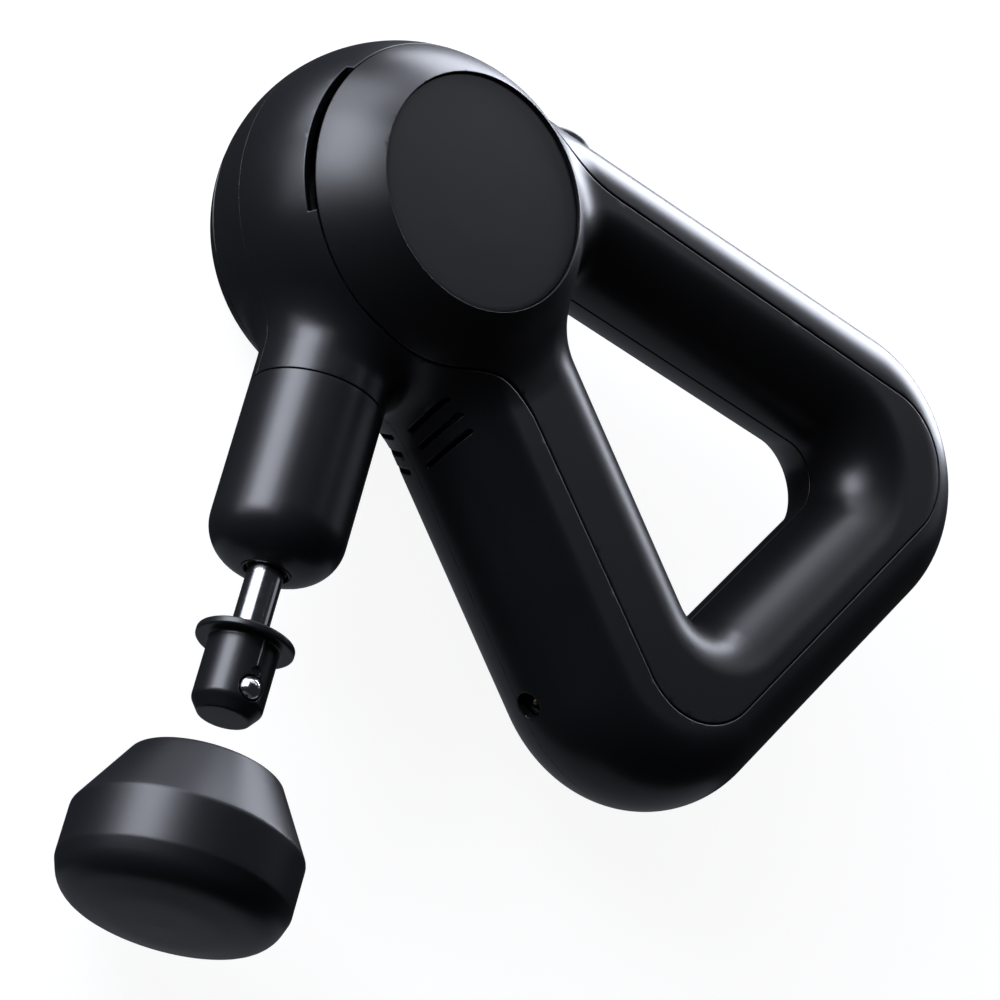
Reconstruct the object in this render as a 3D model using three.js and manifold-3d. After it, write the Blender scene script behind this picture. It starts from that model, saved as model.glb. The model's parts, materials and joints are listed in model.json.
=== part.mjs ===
// Percussion massage gun: a ball-shaped motor head with a nose that holds the stroking shaft, on a
// triangular ring handle. Millimetres, +Z up.
//
// Frame: the origin is the centre of the left side disc's face, on which the tool can lie. +X runs
// along the upper arm of the handle, the shaft strokes along Y and points to -Y, and +Z runs through
// the ball head to the right side disc. The dimensions below are counted from the head's centre, and
// the finished group is lifted by the disc's distance from it. The push-in attachment is drawn off
// the plug, in line with the shaft.

import * as THREE from 'three';
import { mergeVertices } from 'three/addons/utils/BufferGeometryUtils.js';
import Module from 'manifold-3d';

const wasm = await Module();
wasm.setup();

// ---------------------------------------------------------------- driving dimensions

const HEAD_RADIUS = 45.1;
const FACE_Z = 34; // flat side of the head, each side of the middle plane
const DISC_RADIUS = 29.2;
const DISC_RECESS = 0.6;
const CAP_RADIUS = 40.2; // circular seam between ball and side cover
const WALL = 2.6;
const SEAM = 0.35; // gap between neighbouring shells
const PARTING_Z = -3; // where the two housing halves meet

const HANDLE_HALF = 19.5; // half thickness of the handle
const EDGE = 17; // width over which a handle edge rounds off
const ARM_ANGLE = -40.9; // lower arm, degrees from +X
const BACK_ANGLE = 60.2; // rear arm

const SHAFT_X = -7.8; // stroke axis, in the middle plane
const NOSE_RADIUS = 16.4;
const NOSE_SEAM_Y = -53.7;
const NOSE_END_Y = -99.5;
const NOSE_ROUND = 11;
const NOSE_MOUTH = 5.7;
const SHAFT_RADIUS = 4.44;

const FLANGE_Y = -117; // upper face of the plug's flange
const FLANGE_RADIUS = 11.8;
const FLANGE_THICK = 2;
const PLUG_RADIUS = 8.5;
const PLUG_CHAMFER_Y = -134.3;
const PLUG_END_Y = -137.5;
const PLUG_TIP_RADIUS = 6.2;
const BALL_Y = -131.3;
const BALL_RADIUS = 2.9;
const BALL_CENTRE = 7.3; // rest distance of a ball's centre from the axis
const POCKET_RADIUS = 3.2;
const POCKET_FLOOR = 0.8;

const PAD_TOP_Y = -151.2;
const PAD_TOP_RADIUS = 17.6;
const PAD_EDGE_Y = -168;
const PAD_RADIUS = 27.6;
const PAD_DOME_Y = -180.4;
const PAD_END_Y = -190;
const SOCKET_DEPTH = 21;
const SOCKET_RADIUS = 8.85;
const SLEEVE_RADIUS = 13;

const STROKE = 16;
const CRANK_Y = 6; // crank axis, on the stroke line
const CRANK_THROW = STROKE / 2;
const ROD_LENGTH = 28;
const ROD_HALF = 3; // half thickness of the connecting rod
const LINER_BORE = 10;
const LINER_RADIUS = 12.2;

const BUTTON_X = 39;
const BUTTON_RADIUS = 8;
const BUTTON_TOP_Y = 48.8;
const BUTTON_WELL = 0.4;

const CELL_RADIUS = 9.1;
const CELL_LENGTH = 65;
const CELL_ACROSS = [-3, 15.6]; // the lower arm's pair of cells, across its centre line

// ---------------------------------------------------------------- materials

const paint = (color, roughness, metalness) =>
  new THREE.MeshStandardMaterial({ color, roughness, metalness });

const shellBlack = () => paint(0x1b1c1f, 0.42, 0);
const gripBlack = () => paint(0x151618, 0.58, 0);
const discGrey = () => paint(0x2b2c2f, 0.62, 0);
const rubberBlack = () => paint(0x101113, 0.75, 0);
const chrome = () => paint(0xd9dade, 0.1, 1);
const steel = () => paint(0xa9abae, 0.3, 1);
const aluminium = () => paint(0xb6b8bb, 0.4, 1);
const brass = () => paint(0xb08d4f, 0.35, 1);
const copper = () => paint(0xa85f32, 0.4, 1);
const boardGreen = () => paint(0x1f5a35, 0.5, 0);
const cellBlue = () => paint(0x2f5fa8, 0.45, 0);
const wireRed = () => paint(0x8f1d1d, 0.55, 0);

// ---------------------------------------------------------------- solids from three.js geometry

function solid(geometry) {
  geometry.deleteAttribute('normal');
  geometry.deleteAttribute('uv');
  const merged = mergeVertices(geometry, 1e-4);
  const corners = merged.index.array;
  const triangles = [];
  for (let i = 0; i < corners.length; i += 3) {
    const [a, b, c] = [corners[i], corners[i + 1], corners[i + 2]];
    if (a !== b && b !== c && c !== a) triangles.push(a, b, c);
  }
  return new wasm.Manifold(new wasm.Mesh({
    numProp: 3,
    vertProperties: new Float32Array(merged.attributes.position.array),
    triVerts: new Uint32Array(triangles),
  }));
}

const radians = THREE.MathUtils.degToRad;

// A closed profile of [radius, height] pairs, turned about Z and placed at [x, y, z].
function turned(profile, place = [0, 0, 0], segments = 18) {
  const points = profile.map(([radius, height]) => new THREE.Vector2(radius, height));
  if (profile[0][0] > 0) points.push(points[0].clone());
  const geometry = new THREE.LatheGeometry(points, segments);
  geometry.rotateX(Math.PI / 2);
  geometry.translate(...place);
  return solid(geometry);
}

// The same profile turned about the shaft's axis: heights are Y positions.
function turnedOnShaft(profile, segments = 18) {
  const points = profile.map(([radius, y]) => new THREE.Vector2(radius, y));
  if (profile[0][0] > 0) points.push(points[0].clone());
  const geometry = new THREE.LatheGeometry(points, segments);
  geometry.translate(SHAFT_X, 0, 0);
  return solid(geometry);
}

function disc(radius, low, high, x, y, segments = 16) {
  return turned([[0, low], [radius, low], [radius, high], [0, high]], [x, y, 0], segments);
}

function ring(inner, outer, low, high, x, y, segments = 18) {
  return turned([[inner, low], [outer, low], [outer, high], [inner, high]], [x, y, 0], segments);
}

function ringOnShaft(inner, outer, low, high, segments = 18) {
  return turnedOnShaft([[inner, low], [outer, low], [outer, high], [inner, high]], segments);
}

function block(low, high) {
  const size = high.map((value, axis) => value - low[axis]);
  const geometry = new THREE.BoxGeometry(...size);
  geometry.translate(...low.map((value, axis) => value + size[axis] / 2));
  return solid(geometry);
}

function prism(shape, low, high, curveSegments = 6) {
  const geometry = new THREE.ExtrudeGeometry(shape, {
    depth: high - low, bevelEnabled: false, curveSegments,
  });
  geometry.translate(0, 0, low);
  return solid(geometry);
}

// A cylinder of any direction, from one point to another.
function rod(from, to, radius, segments = 16) {
  const start = new THREE.Vector3(...from);
  const along = new THREE.Vector3(...to).sub(start);
  const geometry = new THREE.CylinderGeometry(radius, radius, along.length(), segments);
  geometry.translate(0, along.length() / 2, 0);
  const up = new THREE.Vector3(0, 1, 0);
  geometry.applyQuaternion(new THREE.Quaternion().setFromUnitVectors(up, along.normalize()));
  geometry.translate(...from);
  return solid(geometry);
}

// A round wire through the given points.
function wire(points, radius, steps = 14) {
  const path = new THREE.CatmullRomCurve3(points.map((p) => new THREE.Vector3(...p)));
  const section = new THREE.Shape();
  section.absarc(0, 0, radius, 0, 2 * Math.PI);
  return solid(new THREE.ExtrudeGeometry(section, { steps, extrudePath: path, curveSegments: 2 }));
}

const joined = (solids) => solids.reduce((sum, next) => sum.add(next));

// ---------------------------------------------------------------- handle outline

// A straight side of the handle: the points whose distance along its normal is `reach`.
const side = (angle, reach) => ({
  x: -Math.sin(radians(angle)),
  y: Math.cos(radians(angle)),
  reach,
});

function crossing(first, second) {
  const det = first.x * second.y - first.y * second.x;
  return [
    (first.reach * second.y - second.reach * first.y) / det,
    (first.x * second.reach - second.x * first.reach) / det,
  ];
}

// A closed outline through corners [x, y, radius], each rounded by an arc of that radius.
function rounded(corners, kind = THREE.Shape) {
  const outline = new kind();
  corners.forEach(([x, y, radius], i) => {
    const before = corners[(i + corners.length - 1) % corners.length];
    const after = corners[(i + 1) % corners.length];
    const corner = new THREE.Vector2(x, y);
    const back = new THREE.Vector2(before[0], before[1]).sub(corner).normalize();
    const ahead = new THREE.Vector2(after[0], after[1]).sub(corner).normalize();
    const half = Math.acos(back.dot(ahead)) / 2;
    const inward = back.clone().add(ahead).normalize();
    const centre = corner.clone().addScaledVector(inward, radius / Math.sin(half));
    const start = corner.clone().addScaledVector(back, radius / Math.tan(half)).sub(centre);
    const end = corner.clone().addScaledVector(ahead, radius / Math.tan(half)).sub(centre);
    const clockwise = back.cross(ahead) > 0;
    outline.absarc(centre.x, centre.y, radius, start.angle(), end.angle(), clockwise);
  });
  return outline;
}

const lowerOuter = side(ARM_ANGLE, -23.8);
const lowerInner = side(ARM_ANGLE, 27.8);
const backOuter = side(BACK_ANGLE, -160.6);
const backInner = side(BACK_ANGLE, -124.8);
const upperOuter = side(0, 46.5);
const upperInner = side(0, 10);

// A point of the lower arm: `along` its length from the head's centre, `across` towards the hole.
function onLowerArm(along, across, z = 0) {
  const [c, s] = [Math.cos(radians(ARM_ANGLE)), Math.sin(radians(ARM_ANGLE))];
  return [along * c - across * s, along * s + across * c, z];
}

const ringOutline = () => rounded([
  [...onLowerArm(8, -23.8).slice(0, 2), 20],
  [...crossing(lowerOuter, backOuter), 39.8],
  [...crossing(backOuter, upperOuter), 40.8],
  [24, 46.5, 25],
  [0, 36, 20],
]);

const ringHole = () => rounded([
  [...crossing(lowerInner, upperInner), 8],
  [...crossing(lowerInner, backInner), 7],
  [...crossing(backInner, upperInner), 10.3],
], THREE.Path);

// The ring handle, shrunk by `inset` on every side.
function handle(inset) {
  const shape = ringOutline();
  shape.holes.push(ringHole());
  const straight = 1; // half height of the straight land at the middle plane
  const bevel = HANDLE_HALF - inset - straight;
  const geometry = new THREE.ExtrudeGeometry(shape, {
    depth: 2 * straight,
    bevelThickness: bevel,
    bevelSize: EDGE - inset,
    bevelOffset: -EDGE,
    bevelSegments: inset ? 3 : 4,
    curveSegments: inset ? 2 : 3,
  });
  geometry.translate(0, 0, -straight);
  return solid(geometry);
}

// The ball with its two flat sides, shrunk by `inset`.
function ball(inset) {
  const radius = HEAD_RADIUS - inset;
  const flat = FACE_Z - inset;
  const steps = inset ? 6 : 8;
  const limit = Math.asin(flat / radius);
  const profile = [[0, -flat]];
  for (let i = 0; i <= steps; i += 1) {
    const angle = -limit + (2 * limit * i) / steps;
    profile.push([radius * Math.cos(angle), radius * Math.sin(angle)]);
  }
  profile.push([0, flat]);
  return turned(profile, [0, 0, 0], inset ? 24 : 36);
}

const noseStub = (inset) => turnedOnShaft([
  [0, NOSE_SEAM_Y - (inset > 0 ? 5 : 0)],
  [NOSE_RADIUS - inset, NOSE_SEAM_Y - (inset > 0 ? 5 : 0)],
  [NOSE_RADIUS - inset, -20],
  [0, -20],
], 20);

// ---------------------------------------------------------------- side cover outline

// Corners [x, y, radius] of an anticlockwise outline, moved outwards by `grow`.
function outset(corners, grow) {
  const sides = corners.map(([x, y], i) => {
    const [toX, toY] = corners[(i + 1) % corners.length];
    const length = Math.hypot(toX - x, toY - y);
    const normal = { x: (toY - y) / length, y: (x - toX) / length };
    return { ...normal, reach: normal.x * x + normal.y * y + grow };
  });
  return corners.map(([, , radius], i) => {
    const before = sides[(i + corners.length - 1) % corners.length];
    const convex = before.x * sides[i].y - before.y * sides[i].x > 0;
    return [...crossing(before, sides[i]), convex ? radius + grow : radius - grow];
  });
}

// Seam of the soft side cover: it leaves the cap seam and runs along the crest of each arm.
const coverCorners = [
  [19, -24, 6],
  [36.2, -33.1, 15],
  [111.6, -96.3, 20],
  [182.1, 27.5, 20],
  [45, 29.7, 15],
  [20.5, 34, 5],
];

function coverZone(grow, low, high) {
  const around = disc(CAP_RADIUS + grow, low, high, 0, 0, 36);
  return prism(rounded(outset(coverCorners, grow)), low, high, 3).add(around);
}

// ---------------------------------------------------------------- casings

const outside = ball(0).add(handle(0)).add(noseStub(0));
const inside = ball(WALL).add(handle(WALL)).add(noseStub(WALL));
const shell = outside.subtract(inside);
const FAR = 60;

// Screw posts of the housing, tucked under the side covers next to the seam.
const postPlaces = [
  { at: [41, -29], rib: [-8.5, -9.8] },
  { at: [108, -79], rib: [0, -13] },
  { at: [161, 9], rib: [11.6, 3.1] },
  { at: [59.5, 24.6], rib: [0, 11.5] },
];
const POST_RADIUS = 3.4;
const POST_TOP = 13.2;
const PILOT_RADIUS = 1.3;
const RIB_RADIUS = 1.6;

// Each post hangs on a sloping rib that ends in the wall of the outer strip.
function posts(low, high) {
  const facing = high > POST_TOP - 1 ? 1 : -1;
  const solids = postPlaces.map(({ at: [x, y], rib: [dx, dy] }) => {
    const post = disc(POST_RADIUS, low, high, x, y, 12);
    const rib = rod([x, y, 10 * facing], [x + dx, y + dy, 16.8 * facing], RIB_RADIUS, 8);
    return post.add(rib);
  });
  return joined(solids).intersect(ball(1.2).add(handle(1.2)));
}

const VENT_PITCH = 4.7;
const VENT_WIDTH = 1.3;

// Three cooling slots around the outer edge of the lower arm, on one side of the parting.
function vents(facing) {
  const [inner, outer, lean] = facing > 0 ? [1.6, 15, 3.9] : [-5.5, -15, 1.5];
  const slots = [0, 1, 2].map((i) => {
    const along = 44.7 + VENT_PITCH * i;
    const shape = new THREE.Shape();
    shape.moveTo(along, inner);
    shape.lineTo(along - lean, outer);
    shape.lineTo(along - lean + VENT_WIDTH, outer);
    shape.lineTo(along + VENT_WIDTH, inner);
    const geometry = new THREE.ExtrudeGeometry(shape, { depth: 14, bevelEnabled: false });
    geometry.rotateX(Math.PI / 2);
    geometry.translate(0, -17, 0);
    geometry.rotateZ(radians(ARM_ANGLE));
    return solid(geometry);
  });
  return joined(slots);
}

// The intake slot between the ball and the rim of the side cover.
function intake(low, high) {
  const shape = new THREE.Shape();
  const [from, to] = [radians(153), radians(211)];
  shape.absarc(0, 0, 41.5, from, to, false);
  shape.absarc(0, 0, 38, to, from, true);
  return prism(shape, low, high, 4);
}

const PORT_ALONG = 117.8;
const PORT_RADIUS = 2.9;
const portMouth = onLowerArm(PORT_ALONG, -30);
const portCut = () => rod(portMouth, onLowerArm(PORT_ALONG, -16), PORT_RADIUS, 20);

const buttonCut = () => rod(
  [BUTTON_X, 30, 0], [BUTTON_X, FAR, 0], BUTTON_RADIUS + BUTTON_WELL, 18);

function housing(facing) {
  const low = facing > 0 ? PARTING_Z + SEAM / 2 : -FAR;
  const high = facing > 0 ? FAR : PARTING_Z - SEAM / 2;
  const half = block([-80, -160, low], [220, 90, high]);
  const zone = facing > 0 ? coverZone(SEAM, SEAM / 2, FAR) : coverZone(SEAM, -FAR, -SEAM / 2);
  const rim = facing > 0 ? coverZone(SEAM, low - 1, SEAM) : coverZone(SEAM, -1 + PARTING_Z, -SEAM / 2);
  const post = facing > 0
    ? posts(PARTING_Z + SEAM / 2, POST_TOP) : posts(-POST_TOP, PARTING_Z - SEAM / 2);
  const pilots = joined(postPlaces.map(({ at: [x, y] }) => disc(
    facing > 0 ? PILOT_RADIUS : PILOT_RADIUS + 0.5, -POST_TOP - 1, POST_TOP - 2, x, y, 12)));
  return shell.intersect(half)
    .subtract(zone)
    .subtract(rim)
    .subtract(intake(facing > 0 ? 10 : -22, facing > 0 ? 22 : -10))
    .subtract(vents(facing))
    .add(post)
    .subtract(pilots)
    .subtract(portCut())
    .subtract(buttonCut());
}

function sideCover(facing) {
  const zone = facing > 0 ? coverZone(0, SEAM / 2, FAR) : coverZone(0, -FAR, -SEAM / 2);
  const mouth = disc(DISC_RADIUS + 0.3, -FAR, FAR, 0, 0, 36);
  const [seat, lip] = [FACE_Z - 4.6, FACE_Z - 3.3];
  const ledge = ring(25.5, 32.6, facing > 0 ? seat : -lip, facing > 0 ? lip : -seat, 0, 0, 36);
  return shell.intersect(zone).subtract(mouth).add(ledge);
}

const sideDisc = (facing) => {
  const [back, front] = [FACE_Z - 3, FACE_Z - DISC_RECESS];
  const profile = [[0, back], [DISC_RADIUS, back], [DISC_RADIUS, front - 0.5],
    [DISC_RADIUS - 0.5, front], [0, front]];
  const turnedDisc = turned(profile, [0, 0, 0], 36);
  return facing > 0 ? turnedDisc : turnedDisc.rotate([180, 0, 0]);
};

function noseCover() {
  const start = NOSE_SEAM_Y - SEAM;
  const arc = (radius, steps) => {
    const points = [];
    for (let i = 0; i <= steps; i += 1) {
      const angle = (Math.PI / 2) * (i / steps);
      points.push([
        NOSE_RADIUS - NOSE_ROUND + radius * Math.cos(angle),
        NOSE_END_Y + NOSE_ROUND - radius * Math.sin(angle),
      ]);
    }
    return points;
  };
  return turnedOnShaft([
    [NOSE_RADIUS, start],
    ...arc(NOSE_ROUND, 5),
    [NOSE_MOUTH, NOSE_END_Y],
    [NOSE_MOUTH, NOSE_END_Y + WALL],
    ...arc(NOSE_ROUND - WALL, 4).reverse(),
    [NOSE_RADIUS - WALL, start],
  ].reverse(), 20);
}

// ---------------------------------------------------------------- shaft, plug and attachment

const outputShaft = () => turnedOnShaft([
  [0, FLANGE_Y + 0.02], [SHAFT_RADIUS, FLANGE_Y + 0.02], [SHAFT_RADIUS, -64], [0, -64],
]);

function plug() {
  const body = turnedOnShaft([
    [0, PLUG_END_Y], [PLUG_TIP_RADIUS, PLUG_END_Y], [PLUG_RADIUS, PLUG_CHAMFER_Y],
    [PLUG_RADIUS, FLANGE_Y - FLANGE_THICK], [FLANGE_RADIUS, FLANGE_Y - FLANGE_THICK],
    [FLANGE_RADIUS, FLANGE_Y], [0, FLANGE_Y],
  ], 22);
  const pockets = [1, -1].map((facing) => disc(
    POCKET_RADIUS, Math.min(facing * POCKET_FLOOR, facing * 12),
    Math.max(facing * POCKET_FLOOR, facing * 12), SHAFT_X, BALL_Y, 20));
  const key = block(
    [SHAFT_X - 0.5, FLANGE_Y - 9, PLUG_RADIUS - 1], [SHAFT_X + 0.5, FLANGE_Y - 1, PLUG_RADIUS + 0.3]);
  return body.subtract(joined(pockets)).add(key);
}

function detentBall(facing) {
  const geometry = new THREE.SphereGeometry(BALL_RADIUS, 12, 8);
  geometry.translate(SHAFT_X, BALL_Y, facing * BALL_CENTRE);
  return solid(geometry);
}

// A coil between the pocket's floor and the ball.
function detentSpring(facing) {
  const [low, high] = [POCKET_FLOOR + 0.4, BALL_CENTRE - BALL_RADIUS - 0.4];
  const turns = 2.5;
  const points = [];
  for (let i = 0; i <= 20; i += 1) {
    const angle = 2 * Math.PI * turns * (i / 20);
    points.push([
      SHAFT_X + 1.9 * Math.cos(angle), BALL_Y + 1.9 * Math.sin(angle),
      facing * (low + ((high - low) * i) / 20),
    ]);
  }
  return wire(points, 0.28, 20);
}

// Socket insert of the attachment: a sleeve with a floor, and grooves for the balls and the key.
function attachmentCore() {
  const floor = PAD_TOP_Y - SOCKET_DEPTH;
  const sleeve = turnedOnShaft([
    [0, floor - 2.4], [SLEEVE_RADIUS, floor - 2.4], [SLEEVE_RADIUS, PAD_TOP_Y - 0.4],
    [SOCKET_RADIUS, PAD_TOP_Y - 0.4], [SOCKET_RADIUS, floor], [0, floor],
  ], 20);
  const reach = BALL_CENTRE + BALL_RADIUS + 0.4;
  const grooves = block(
    [SHAFT_X - POCKET_RADIUS, floor, -reach], [SHAFT_X + POCKET_RADIUS, PAD_TOP_Y + 1, reach]);
  return sleeve.subtract(grooves);
}

// Soft cushion moulded around the core.
const attachmentPad = () => turnedOnShaft([
  [0, PAD_END_Y],
  [14, PAD_END_Y + 0.4],
  [22.5, PAD_END_Y + 1.9],
  [25.2, PAD_END_Y + 4],
  [PAD_RADIUS - 0.4, PAD_DOME_Y - 1.5],
  [PAD_RADIUS, PAD_DOME_Y + 1],
  [PAD_RADIUS, PAD_EDGE_Y - 1.5],
  [PAD_RADIUS - 1.5, PAD_EDGE_Y + 1.2],
  [PAD_TOP_RADIUS + 0.6, PAD_TOP_Y - 1.4],
  [PAD_TOP_RADIUS - 1, PAD_TOP_Y],
  [SLEEVE_RADIUS + 0.3, PAD_TOP_Y],
  [SLEEVE_RADIUS + 0.3, PAD_TOP_Y - SOCKET_DEPTH - 2.8],
  [0, PAD_TOP_Y - SOCKET_DEPTH - 2.8],
], 20);

// ---------------------------------------------------------------- drive

const pinY = CRANK_Y - CRANK_THROW; // crank pin at full extension
const wristY = pinY - ROD_LENGTH;

function connectingRod() {
  const shank = block(
    [SHAFT_X - 2.6, wristY + 2, -ROD_HALF + 0.6], [SHAFT_X + 2.6, pinY - 5, ROD_HALF - 0.6]);
  return shank
    .add(disc(7.6, -ROD_HALF, ROD_HALF, SHAFT_X, pinY, 18))
    .add(disc(4.8, -ROD_HALF, ROD_HALF, SHAFT_X, wristY, 20))
    .subtract(disc(5.3, -FAR, FAR, SHAFT_X, pinY, 18))
    .subtract(disc(2.4, -FAR, FAR, SHAFT_X, wristY, 20));
}

// Slider on the shaft's upper end. Its single cheek reaches over the rod's small end.
function crosshead() {
  const slider = ringOnShaft(SHAFT_RADIUS - 1.4, LINER_BORE - 0.3, -66, -52, 20);
  const cheek = block([SHAFT_X - 4.6, -53, ROD_HALF + 0.5], [SHAFT_X + 4.6, wristY + 4, 8]);
  const seat = turnedOnShaft([[0, -67], [SHAFT_RADIUS + 0.05, -67], [SHAFT_RADIUS + 0.05, -63.9],
    [0, -63.9]], 18);
  return slider.add(cheek).subtract(seat)
    .subtract(disc(1.7, 0, FAR, SHAFT_X, wristY, 16));
}

// Shoulder pin of the crosshead. It ends just above the rod, where the linkage is opened.
const wristPin = () => turned([
  [0, ROD_HALF + 0.3], [1.6, ROD_HALF + 0.3], [1.6, 8.05], [3, 8.05], [3, 9], [0, 9],
], [SHAFT_X, wristY, 0], 16);

const MOTOR_LOW = -24;
const motorShaft = () => disc(2.5, MOTOR_LOW + 2.7, -6.7, SHAFT_X, CRANK_Y, 16);

const rotorBell = () => turned([
  [0, MOTOR_LOW], [23, MOTOR_LOW], [23, -11], [21.5, -11],
  [21.5, MOTOR_LOW + 1.8], [4, MOTOR_LOW + 1.8], [4, MOTOR_LOW + 2.6], [0, MOTOR_LOW + 2.6],
], [SHAFT_X, CRANK_Y, 0], 20);

const magnetRing = () => ring(19.4, 21.4, MOTOR_LOW + 3, -11.4, SHAFT_X, CRANK_Y, 20);

// Laminated stator with twelve wound teeth.
function motorStator() {
  const teeth = [];
  for (let i = 0; i < 12; i += 1) {
    const tooth = block([11, -2, -19.8], [18.6, 2, -12.6]).rotate([0, 0, 30 * i]);
    teeth.push(tooth.translate([SHAFT_X, CRANK_Y, 0]));
  }
  return ring(8.2, 12.4, -19.8, -12.6, SHAFT_X, CRANK_Y, 24).add(joined(teeth));
}

const bearing = (low) => ring(2.6, 5.9, low, low + 3, SHAFT_X, CRANK_Y, 20);

const motorScrewPlaces = [45, 165, 285].map((angle) => [
  SHAFT_X + 10.6 * Math.cos(radians(angle)),
  CRANK_Y + 10.6 * Math.sin(radians(angle)),
]);

// Cast frame: a plate with the stator's hub below it and a collar that grips the liner.
function motorFrame() {
  const plate = disc(26, -10.6, -8.4, SHAFT_X, CRANK_Y, 20);
  const hub = ring(6, 8.1, -20, -8.4, SHAFT_X, CRANK_Y, 20);
  const arm = block([SHAFT_X - 9, -35, -14.4], [SHAFT_X + 9, -17.5, -8.4]);
  const collar = ringOnShaft(LINER_RADIUS + 0.2, 14.8, -35, -31, 20);
  const bore = turnedOnShaft([
    [0, -44], [LINER_RADIUS + 0.2, -44], [LINER_RADIUS + 0.2, -14], [0, -14],
  ], 20);
  const screwHoles = motorScrewPlaces.map(([x, y]) => disc(1.35, -FAR, FAR, x, y, 10));
  return plate.subtract(disc(6, -FAR, FAR, SHAFT_X, CRANK_Y, 20)).add(hub).add(arm).add(collar)
    .subtract(bore).subtract(joined(screwHoles));
}

// Crank disc with its counterweight opposite the pin.
function crankDisc() {
  const weight = new THREE.Shape();
  weight.absarc(SHAFT_X, CRANK_Y, 17, radians(20), radians(160), false);
  weight.absarc(SHAFT_X, CRANK_Y, 6, radians(160), radians(20), true);
  return disc(12, -6.6, -3.8, SHAFT_X, CRANK_Y, 28).add(prism(weight, -6.6, -3.8, 10))
    .subtract(disc(2.4, -6.7, -3, SHAFT_X, pinY, 16));
}

const crankPin = () => disc(2.3, -6.5, ROD_HALF - 0.1, SHAFT_X, pinY, 16);
const rodBearing = () => ring(2.4, 5.2, -ROD_HALF + 0.2, ROD_HALF - 0.4, SHAFT_X, pinY, 18);

const liner = () => ringOnShaft(LINER_BORE, LINER_RADIUS, -86, -33.5, 20);
const frontBushing = () => ringOnShaft(SHAFT_RADIUS + 0.06, 7.6, -96.2, -90.5, 18);
const shaftSeal = () => ringOnShaft(SHAFT_RADIUS + 0.2, 5.5, -98.6, -96.9, 18);

// ---------------------------------------------------------------- power and electronics

function cell(from, to) {
  const start = new THREE.Vector3(...from);
  const along = new THREE.Vector3(...to).sub(start).normalize();
  const tip = start.clone().addScaledVector(along, CELL_LENGTH);
  const button = tip.clone().addScaledVector(along, 1.2);
  return rod(from, tip.toArray(), CELL_RADIUS, 20).add(
    rod(start.clone().addScaledVector(along, 60).toArray(), button.toArray(), 2.8, 10));
}

const backArmPoint = (along, across) => {
  const angle = radians(BACK_ANGLE);
  return [
    142.7 * Math.sin(angle) + along * Math.cos(angle) + across * Math.sin(angle),
    -142.7 * Math.cos(angle) + along * Math.sin(angle) - across * Math.cos(angle),
    0,
  ];
};

const cells = () => [
  ...CELL_ACROSS.map((across) => cell(onLowerArm(56, across), onLowerArm(100, across))),
  cell(backArmPoint(10, 0), backArmPoint(90, 0)),
  cell([66, 27.6, -6.5], [120, 27.6, -6.5]),
];

// Cradle plate under the pair of cells of the lower arm.
function cellCradle() {
  const half = block([57, -10, -12.4], [119, 20, -4]).rotate([0, 0, ARM_ANGLE]);
  const grooves = CELL_ACROSS.map((across) => rod(
    onLowerArm(50, across), onLowerArm(125, across), CELL_RADIUS + 0.3, 20));
  return half.subtract(joined(grooves));
}

function controlBoard() {
  const chips = [[70, 22, 7], [82, 30, 9], [96, 20, 6], [106, 30, 8]].map(([x, y, size]) =>
    block([x, y, 7.5], [x + size, y + size * 0.7, 10]));
  return block([66, 16, 6], [118, 38, 7.6]).add(joined(chips));
}

// The push button: a low domed cap on a stem.
function powerButton() {
  const profile = [[0, 43], [BUTTON_RADIUS, 43], [BUTTON_RADIUS, BUTTON_TOP_Y - 1.8],
    [BUTTON_RADIUS - 1.4, BUTTON_TOP_Y - 0.5], [0, BUTTON_TOP_Y]];
  const points = profile.map(([radius, y]) => new THREE.Vector2(radius, y));
  const geometry = new THREE.LatheGeometry(points, 22);
  geometry.translate(BUTTON_X, 0, 0);
  return solid(geometry).add(rod([BUTTON_X, 40.4, 0], [BUTTON_X, 44, 0], 2.2, 12));
}

const switchPlunger = () => rod([BUTTON_X, 38.6, 0], [BUTTON_X, 40.35, 0], 1.5, 12);
const tactSwitch = () => block([BUTTON_X - 3.2, 33, -3.2], [BUTTON_X + 3.2, 37.4, 3.2]);
const switchBoard = () => block([BUTTON_X - 9, 31.2, -9], [BUTTON_X + 9, 32.8, 9]);

function chargeJack() {
  const body = rod(onLowerArm(PORT_ALONG, -20.1), onLowerArm(PORT_ALONG, -12.6), 4.2, 20);
  return body.subtract(rod(portMouth, onLowerArm(PORT_ALONG, -13.6), PORT_RADIUS - 0.3, 20));
}

const chargePin = () => rod(
  onLowerArm(PORT_ALONG, -21.5), onLowerArm(PORT_ALONG, -13.7), 0.8, 12);

const batteryCable = () => wire([
  [96, -80, -1], [104, -88.5, -1.5], [114, -87, -1.5], [122, -75, -1], [127, -66.5, 0],
], 1);
const motorCable = () => wire([
  [20, 16, -14], [30, 22, -8], [46, 19, -2], [58, 17, 2], [65, 18.5, 4.2],
], 1.1);
const chargeCable = () => wire([
  onLowerArm(112.4, -16, 2), onLowerArm(106, -15, 7), onLowerArm(98, -13, 11), onLowerArm(88, -10, 13),
], 0.8, 10);
const switchCable = () => wire([
  [BUTTON_X + 4, 30.4, 0], [BUTTON_X + 9, 28, 3], [56, 30, 5], [65, 30, 6.4],
], 0.6, 8);

// ---------------------------------------------------------------- fasteners

const housingScrew = ([x, y]) => turned([
  [0, -POST_TOP - 2.2], [2.8, -POST_TOP - 2.2], [2.8, -POST_TOP - 0.1], [1.2, -POST_TOP - 0.1],
  [1.2, 8], [0, 9],
], [x, y, 0], 12);

// Screws through the plate of the motor frame into the stator.
const motorScrew = ([x, y]) => turned([
  [0, -12.3], [1.2, -12.3], [1.2, -8.2], [2.3, -8.2], [2.3, -7], [0, -7],
], [x, y, 0], 10);

// ---------------------------------------------------------------- assembly

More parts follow.
